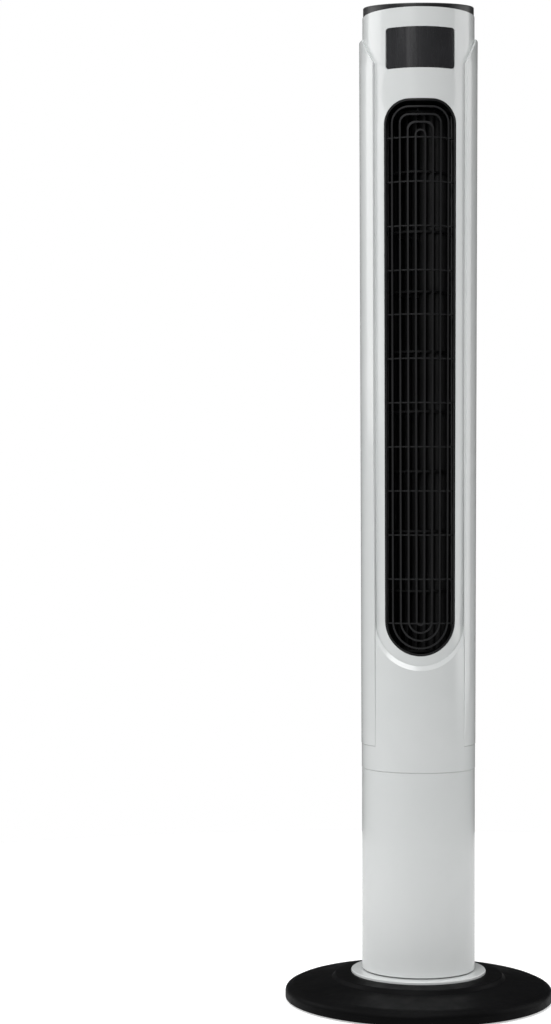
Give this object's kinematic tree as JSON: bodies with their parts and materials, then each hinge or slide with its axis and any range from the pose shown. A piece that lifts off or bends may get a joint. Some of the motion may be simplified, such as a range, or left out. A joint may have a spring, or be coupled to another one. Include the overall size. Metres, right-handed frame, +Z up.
{
  "type": "tower fan",
  "caption": "Slim round tower fan: white body with a tall black outlet grille, display window and wedge key panel, turning on a weighted black disc base.",
  "frame": {"origin": "centre of the base, on the floor plane under the feet", "axes": "+Z up along the tower; -Y is the front, where the outlet faces; +X is the right side seen from the front"},
  "size_m": [0.32, 0.32, 1.1992],
  "materials": {
    "white_plastic": "glossy white moulding",
    "black_plastic": "fine-grained black moulding",
    "grille_plastic": "satin black moulding",
    "cap_plastic": "satin black moulding",
    "key_plastic": "satin dark grey moulding",
    "smoked_window": "polished smoked acrylic",
    "wheel_plastic": "black glass-filled nylon",
    "grey_plastic": "grey moulding",
    "natural_plastic": "natural acetal",
    "foot_rubber": "matt black rubber",
    "cast_iron": "as cast, painted",
    "black_steel": "black powder coat",
    "zinc_steel": "zinc plated sheet",
    "screw_steel": "zinc plated",
    "lamination": "varnished laminated steel",
    "bronze": "oil-filled sintered bronze",
    "copper": "enamelled copper wire",
    "circuit_board": "green solder resist",
    "dark_component": "moulded components"
  },
  "bodies": {
    "base": {"base_cover": "black_plastic", "base_weight": "cast_iron", "bottom_plate": "black_steel", "rubber_feet": "foot_rubber", "base_screws": "screw_steel", "seat_ring": "white_plastic", "spindle": "grey_plastic", "glide_ring": "natural_plastic", "fixed_gear": "natural_plastic", "spindle_nut": "black_steel", "cord_gland": "foot_rubber"},
    "column": {"column_tube": "white_plastic", "turntable_plate": "grey_plastic", "swivel_bush": "bronze", "swing_bracket": "zinc_steel", "swing_motor": "zinc_steel", "chassis_screws": "screw_steel", "board_rails": "grey_plastic", "power_board": "circuit_board", "board_parts": "dark_component", "joint_collar": "grey_plastic", "front_housing": "white_plastic", "rear_housing": "white_plastic", "housing_screws": "screw_steel", "front_grille": "grille_plastic", "display_window": "smoked_window", "display_board": "circuit_board", "display_parts": "dark_component", "scroll_plate": "black_steel", "tongue_plate": "black_steel", "lower_partition": "black_plastic", "upper_partition": "black_plastic", "bearing_cushion": "foot_rubber", "bearing_sleeve": "bronze", "motor_stator": "lamination", "motor_windings": "copper", "upper_bell": "zinc_steel", "lower_bell": "zinc_steel", "motor_bearings": "bronze", "motor_cradle": "zinc_steel", "cradle_grommets": "foot_rubber", "cradle_screws": "screw_steel", "motor_bolts": "screw_steel", "run_capacitor": "dark_component", "top_panel": "cap_plastic", "key_board": "circuit_board", "key_switches": "dark_component"},
    "swing_drive": {"swing_pinion": "natural_plastic", "swing_shaft": "screw_steel"},
    "wheel": {"fan_wheel": "wheel_plastic", "wheel_hub": "wheel_plastic", "hub_screw": "screw_steel", "wheel_axle": "screw_steel", "motor_rotor": "lamination", "motor_shaft": "screw_steel"},
    "timer_key": {"timer_button": "key_plastic"},
    "mode_key": {"mode_button": "key_plastic"},
    "power_key": {"power_button": "key_plastic"},
    "swing_key": {"swing_button": "key_plastic"},
    "speed_key": {"speed_button": "key_plastic"}
  },
  "joints": [
    {"name": "swing", "type": "hinge", "parent": "base", "child": "column", "pos_m": [0, 0, 0.05], "axis": [0, 0, 1], "range_deg": [-35, 35]},
    {"name": "swing_drive_spin", "type": "hinge", "parent": "column", "child": "swing_drive", "pos_m": [0, 0.045, 0.064], "axis": [0, 0, 1], "range_deg": [-106, 106]},
    {"name": "wheel_spin", "type": "hinge", "parent": "column", "child": "wheel", "pos_m": [0, 0.006, 0.74], "axis": [0, 0, 1], "continuous": true},
    {"name": "timer_press", "type": "slide", "parent": "column", "child": "timer_key", "axis": [0, 0.1253, -0.9921], "range_m": [0, 0.001], "stiffness_N_per_m": 800},
    {"name": "mode_press", "type": "slide", "parent": "column", "child": "mode_key", "axis": [0, 0.1253, -0.9921], "range_m": [0, 0.001], "stiffness_N_per_m": 800},
    {"name": "power_press", "type": "slide", "parent": "column", "child": "power_key", "axis": [0, 0.1253, -0.9921], "range_m": [0, 0.001], "stiffness_N_per_m": 800},
    {"name": "swing_press", "type": "slide", "parent": "column", "child": "swing_key", "axis": [0, 0.1253, -0.9921], "range_m": [0, 0.001], "stiffness_N_per_m": 800},
    {"name": "speed_press", "type": "slide", "parent": "column", "child": "speed_key", "axis": [0, 0.1253, -0.9921], "range_m": [0, 0.001], "stiffness_N_per_m": 800}
  ],
  "couplings": [
    {"joint": "swing_drive_spin", "follows": "swing", "ratio": 3}
  ]
}
